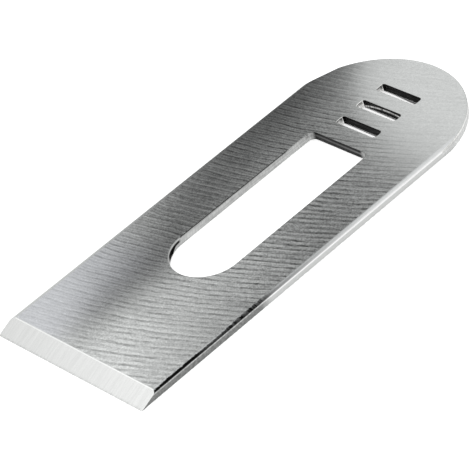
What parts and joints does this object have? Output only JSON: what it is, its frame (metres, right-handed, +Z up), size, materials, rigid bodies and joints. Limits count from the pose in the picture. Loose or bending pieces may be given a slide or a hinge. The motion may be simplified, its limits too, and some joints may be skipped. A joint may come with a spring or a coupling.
{
  "type": "plane iron",
  "caption": "Flat steel cutter for a small hand plane, with a rounded head, a long slot for the clamping screw, cross slots for the depth adjuster and a ground bevel.",
  "frame": {"origin": "back face, at the middle of the iron's length and width, with the iron lying on its back", "axes": "+Y along the length towards the rounded end, -Y towards the cutting edge, +X across the width, +Z up out of the face with the bevel"},
  "size_m": [0.0412, 0.106, 0.0018],
  "materials": {
    "ground_steel": "flat faces ground with a coarse wheel that left fine curved lines across, bevel ground finer, rolled long edges left dull"
  },
  "bodies": {
    "root": {"plane_iron": "ground_steel"}
  },
  "joints": []
}
